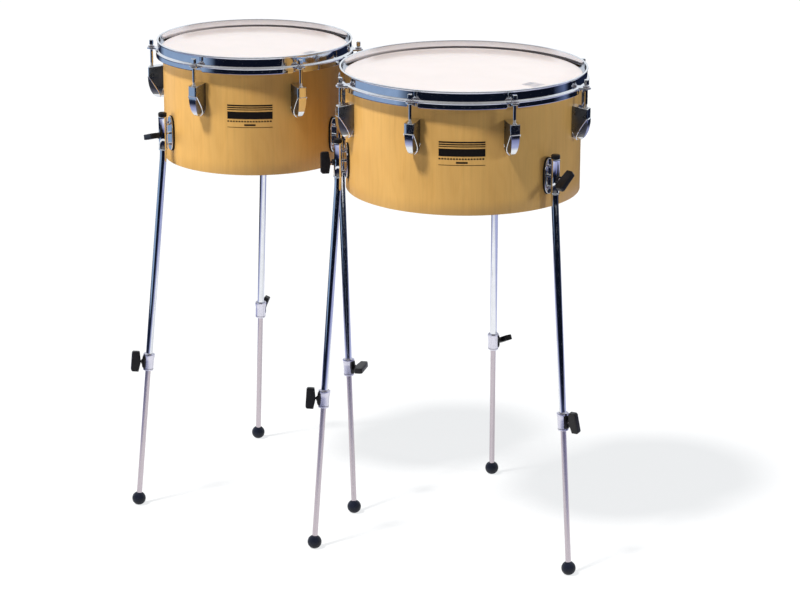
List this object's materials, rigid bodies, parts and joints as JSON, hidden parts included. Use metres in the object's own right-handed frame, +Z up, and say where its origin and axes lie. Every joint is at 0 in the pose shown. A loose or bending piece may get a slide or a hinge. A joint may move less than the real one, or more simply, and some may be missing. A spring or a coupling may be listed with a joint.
{
  "type": "timbales",
  "caption": "Small and large shallow single-headed drums with tensioned rims, free-standing on telescopic bent legs with clamp screws.",
  "frame": {"origin": "on the floor, under the centre of the whole bounding box", "axes": "+X from the small drum to the large one, +Z up, +Y to the left of +X"},
  "size_m": [0.8966, 0.5159, 0.8515],
  "materials": {
    "birch": "clear satin lacquer, vertical grain",
    "chrome": "bright chrome plate",
    "film": "smooth translucent film",
    "black_plastic": "moulded black",
    "rubber": "satin black"
  },
  "bodies": {
    "large_drum": {"large_shell": "birch", "large_head": "film", "large_counterhoop": "chrome", "large_left_leg_bracket": "chrome", "large_right_leg_bracket": "chrome", "large_rear_leg_bracket": "chrome"},
    "large_tension_rod_1": {"large_tension_rod_1": "chrome"},
    "large_tension_rod_2": {"large_tension_rod_2": "chrome"},
    "large_tension_rod_3": {"large_tension_rod_3": "chrome"},
    "large_tension_rod_4": {"large_tension_rod_4": "chrome"},
    "large_tension_rod_5": {"large_tension_rod_5": "chrome"},
    "large_tension_rod_6": {"large_tension_rod_6": "chrome"},
    "large_tension_rod_7": {"large_tension_rod_7": "chrome"},
    "large_tension_rod_8": {"large_tension_rod_8": "chrome"},
    "large_left_upper_leg": {"large_left_upper_leg": "chrome"},
    "large_left_lower_leg": {"large_left_lower_leg": "chrome", "large_left_foot": "rubber"},
    "large_left_bracket_wing_screw": {"large_left_bracket_wing_screw": "black_plastic"},
    "large_left_collar_wing_screw": {"large_left_collar_wing_screw": "black_plastic"},
    "large_right_upper_leg": {"large_right_upper_leg": "chrome"},
    "large_right_lower_leg": {"large_right_lower_leg": "chrome", "large_right_foot": "rubber"},
    "large_right_bracket_wing_screw": {"large_right_bracket_wing_screw": "black_plastic"},
    "large_right_collar_wing_screw": {"large_right_collar_wing_screw": "black_plastic"},
    "large_rear_upper_leg": {"large_rear_upper_leg": "chrome"},
    "large_rear_lower_leg": {"large_rear_lower_leg": "chrome", "large_rear_foot": "rubber"},
    "large_rear_bracket_wing_screw": {"large_rear_bracket_wing_screw": "black_plastic"},
    "large_rear_collar_wing_screw": {"large_rear_collar_wing_screw": "black_plastic"},
    "small_drum": {"small_shell": "birch", "small_head": "film", "small_counterhoop": "chrome", "small_left_leg_bracket": "chrome", "small_right_leg_bracket": "chrome", "small_rear_leg_bracket": "chrome"},
    "small_tension_rod_1": {"small_tension_rod_1": "chrome"},
    "small_tension_rod_2": {"small_tension_rod_2": "chrome"},
    "small_tension_rod_3": {"small_tension_rod_3": "chrome"},
    "small_tension_rod_4": {"small_tension_rod_4": "chrome"},
    "small_tension_rod_5": {"small_tension_rod_5": "chrome"},
    "small_tension_rod_6": {"small_tension_rod_6": "chrome"},
    "small_left_upper_leg": {"small_left_upper_leg": "chrome"},
    "small_left_lower_leg": {"small_left_lower_leg": "chrome", "small_left_foot": "rubber"},
    "small_left_bracket_wing_screw": {"small_left_bracket_wing_screw": "black_plastic"},
    "small_left_collar_wing_screw": {"small_left_collar_wing_screw": "black_plastic"},
    "small_right_upper_leg": {"small_right_upper_leg": "chrome"},
    "small_right_lower_leg": {"small_right_lower_leg": "chrome", "small_right_foot": "rubber"},
    "small_right_bracket_wing_screw": {"small_right_bracket_wing_screw": "black_plastic"},
    "small_right_collar_wing_screw": {"small_right_collar_wing_screw": "black_plastic"},
    "small_rear_upper_leg": {"small_rear_upper_leg": "chrome"},
    "small_rear_lower_leg": {"small_rear_lower_leg": "chrome", "small_rear_foot": "rubber"},
    "small_rear_bracket_wing_screw": {"small_rear_bracket_wing_screw": "black_plastic"},
    "small_rear_collar_wing_screw": {"small_rear_collar_wing_screw": "black_plastic"}
  },
  "joints": [
    {"name": "large_tension_rod_1_turn", "type": "hinge", "parent": "large_drum", "child": "large_tension_rod_1", "pos_m": [0.38795, 0.00436, 0.8329], "axis": [0, 0, 1], "range_deg": [-360, 720]},
    {"name": "large_tension_rod_2_turn", "type": "hinge", "parent": "large_drum", "child": "large_tension_rod_2", "pos_m": [0.30196, 0.1533, 0.8329], "axis": [0, 0, 1], "range_deg": [-360, 720]},
    {"name": "large_tension_rod_3_turn", "type": "hinge", "parent": "large_drum", "child": "large_tension_rod_3", "pos_m": [0.13584, 0.19781, 0.8329], "axis": [0, 0, 1], "range_deg": [-360, 720]},
    {"name": "large_tension_rod_4_turn", "type": "hinge", "parent": "large_drum", "child": "large_tension_rod_4", "pos_m": [-0.0131, 0.11182, 0.8329], "axis": [0, 0, 1], "range_deg": [-360, 720]},
    {"name": "large_tension_rod_5_turn", "type": "hinge", "parent": "large_drum", "child": "large_tension_rod_5", "pos_m": [-0.05761, -0.0543, 0.8329], "axis": [0, 0, 1], "range_deg": [-360, 720]},
    {"name": "large_tension_rod_6_turn", "type": "hinge", "parent": "large_drum", "child": "large_tension_rod_6", "pos_m": [0.02838, -0.20324, 0.8329], "axis": [0, 0, 1], "range_deg": [-360, 720]},
    {"name": "large_tension_rod_7_turn", "type": "hinge", "parent": "large_drum", "child": "large_tension_rod_7", "pos_m": [0.1945, -0.24775, 0.8329], "axis": [0, 0, 1], "range_deg": [-360, 720]},
    {"name": "large_tension_rod_8_turn", "type": "hinge", "parent": "large_drum", "child": "large_tension_rod_8", "pos_m": [0.34344, -0.16176, 0.8329], "axis": [0, 0, 1], "range_deg": [-360, 720]},
    {"name": "large_left_leg_swivel", "type": "hinge", "parent": "large_drum", "child": "large_left_upper_leg", "pos_m": [0.00876, -0.18138, 0.6545], "axis": [0, 0, 1], "range_deg": [-180, 180]},
    {"name": "large_left_leg_extension", "type": "slide", "parent": "large_left_upper_leg", "child": "large_left_lower_leg", "axis": [-0.0175, -0.0991, -0.9949], "range_m": [-0.22, 0.1]},
    {"name": "large_left_bracket_wing_screw_turn", "type": "hinge", "parent": "large_drum", "child": "large_left_bracket_wing_screw", "pos_m": [0.00876, -0.18138, 0.692], "axis": [-0.7071, -0.7071, 0], "range_deg": [0, 720]},
    {"name": "large_left_collar_wing_screw_turn", "type": "hinge", "parent": "large_left_upper_leg", "child": "large_left_collar_wing_screw", "pos_m": [0.00205, -0.21943, 0.2725], "axis": [-0.8185, -0.57, 0.0712], "range_deg": [0, 720]},
    {"name": "large_right_leg_swivel", "type": "hinge", "parent": "large_drum", "child": "large_right_upper_leg", "pos_m": [0.37883, -0.08222, 0.6545], "axis": [0, 0, 1], "range_deg": [-180, 180]},
    {"name": "large_right_leg_extension", "type": "slide", "parent": "large_right_upper_leg", "child": "large_right_lower_leg", "axis": [0.0888, -0.0472, -0.9949], "range_m": [-0.22, 0.1]},
    {"name": "large_right_bracket_wing_screw_turn", "type": "hinge", "parent": "large_drum", "child": "large_right_bracket_wing_screw", "pos_m": [0.37883, -0.08222, 0.692], "axis": [0.9659, -0.2588, 0], "range_deg": [0, 720]},
    {"name": "large_right_collar_wing_screw_turn", "type": "hinge", "parent": "large_right_upper_leg", "child": "large_right_collar_wing_screw", "pos_m": [0.41294, -0.10036, 0.2725], "axis": [0.9861, -0.1369, 0.0946], "range_deg": [0, 720]},
    {"name": "large_rear_leg_swivel", "type": "hinge", "parent": "large_drum", "child": "large_rear_upper_leg", "pos_m": [0.10792, 0.18869, 0.6545], "axis": [0, 0, 1], "range_deg": [-180, 180]},
    {"name": "large_rear_leg_extension", "type": "slide", "parent": "large_rear_upper_leg", "child": "large_rear_lower_leg", "axis": [-0.0488, 0.088, -0.9949], "range_m": [-0.22, 0.1]},
    {"name": "large_rear_bracket_wing_screw_turn", "type": "hinge", "parent": "large_drum", "child": "large_rear_bracket_wing_screw", "pos_m": [0.10792, 0.18869, 0.692], "axis": [-0.2588, 0.9659, 0], "range_deg": [0, 720]},
    {"name": "large_rear_collar_wing_screw_turn", "type": "hinge", "parent": "large_rear_upper_leg", "child": "large_rear_collar_wing_screw", "pos_m": [0.08919, 0.22248, 0.2725], "axis": [0.4861, 0.8723, 0.0533], "range_deg": [0, 720]},
    {"name": "small_tension_rod_1_turn", "type": "hinge", "parent": "small_drum", "child": "small_tension_rod_1", "pos_m": [-0.10923, 0.06833, 0.8329], "axis": [0, 0, 1], "range_deg": [-360, 720]},
    {"name": "small_tension_rod_2_turn", "type": "hinge", "parent": "small_drum", "child": "small_tension_rod_2", "pos_m": [-0.27083, 0.16163, 0.8329], "axis": [0, 0, 1], "range_deg": [-360, 720]},
    {"name": "small_tension_rod_3_turn", "type": "hinge", "parent": "small_drum", "child": "small_tension_rod_3", "pos_m": [-0.43243, 0.06833, 0.8329], "axis": [0, 0, 1], "range_deg": [-360, 720]},
    {"name": "small_tension_rod_4_turn", "type": "hinge", "parent": "small_drum", "child": "small_tension_rod_4", "pos_m": [-0.43243, -0.11827, 0.8329], "axis": [0, 0, 1], "range_deg": [-360, 720]},
    {"name": "small_tension_rod_5_turn", "type": "hinge", "parent": "small_drum", "child": "small_tension_rod_5", "pos_m": [-0.27083, -0.21157, 0.8329], "axis": [0, 0, 1], "range_deg": [-360, 720]},
    {"name": "small_tension_rod_6_turn", "type": "hinge", "parent": "small_drum", "child": "small_tension_rod_6", "pos_m": [-0.10923, -0.11827, 0.8329], "axis": [0, 0, 1], "range_deg": [-360, 720]},
    {"name": "small_left_leg_swivel", "type": "hinge", "parent": "small_drum", "child": "small_left_upper_leg", "pos_m": [-0.36238, -0.18354, 0.6545], "axis": [0, 0, 1], "range_deg": [-180, 180]},
    {"name": "small_left_leg_extension", "type": "slide", "parent": "small_left_upper_leg", "child": "small_left_lower_leg", "axis": [-0.0503, -0.0871, -0.9949], "range_m": [-0.22, 0.1]},
    {"name": "small_left_bracket_wing_screw_turn", "type": "hinge", "parent": "small_drum", "child": "small_left_bracket_wing_screw", "pos_m": [-0.36238, -0.18354, 0.692], "axis": [-0.5, -0.866, 0], "range_deg": [0, 720]},
    {"name": "small_left_collar_wing_screw_turn", "type": "hinge", "parent": "small_left_upper_leg", "child": "small_left_collar_wing_screw", "pos_m": [-0.3817, -0.217, 0.2725], "axis": [-0.7407, -0.665, 0.0957], "range_deg": [0, 720]},
    {"name": "small_right_leg_swivel", "type": "hinge", "parent": "small_drum", "child": "small_right_upper_leg", "pos_m": [-0.08773, -0.02497, 0.6545], "axis": [0, 0, 1], "range_deg": [-180, 180]},
    {"name": "small_right_leg_extension", "type": "slide", "parent": "small_right_upper_leg", "child": "small_right_lower_leg", "axis": [0.0804, -0.0606, -0.9949], "range_m": [-0.22, 0.1]},
    {"name": "small_right_bracket_wing_screw_turn", "type": "hinge", "parent": "small_drum", "child": "small_right_bracket_wing_screw", "pos_m": [-0.08773, -0.02497, 0.692], "axis": [1, 0, 0], "range_deg": [0, 720]},
    {"name": "small_right_collar_wing_screw_turn", "type": "hinge", "parent": "small_right_upper_leg", "child": "small_right_collar_wing_screw", "pos_m": [-0.05688, -0.04822, 0.2725], "axis": [0.9718, 0.2269, 0.0647], "range_deg": [0, 720]},
    {"name": "small_rear_leg_swivel", "type": "hinge", "parent": "small_drum", "child": "small_rear_upper_leg", "pos_m": [-0.36238, 0.1336, 0.6545], "axis": [0, 0, 1], "range_deg": [-180, 180]},
    {"name": "small_rear_leg_extension", "type": "slide", "parent": "small_rear_upper_leg", "child": "small_rear_lower_leg", "axis": [-0.0793, 0.0619, -0.9949], "range_m": [-0.22, 0.1]},
    {"name": "small_rear_bracket_wing_screw_turn", "type": "hinge", "parent": "small_drum", "child": "small_rear_bracket_wing_screw", "pos_m": [-0.36238, 0.1336, 0.692], "axis": [-0.5, 0.866, 0], "range_deg": [0, 720]},
    {"name": "small_rear_collar_wing_screw_turn", "type": "hinge", "parent": "small_rear_upper_leg", "child": "small_rear_collar_wing_screw", "pos_m": [-0.39282, 0.15738, 0.2725], "axis": [-0.3057, 0.9485, 0.0834], "range_deg": [0, 720]},
    {"name": "small_drum_apart", "type": "slide", "parent": "large_drum", "child": "small_drum", "axis": [-1, 0, 0], "range_m": [0, 0.3]}
  ]
}
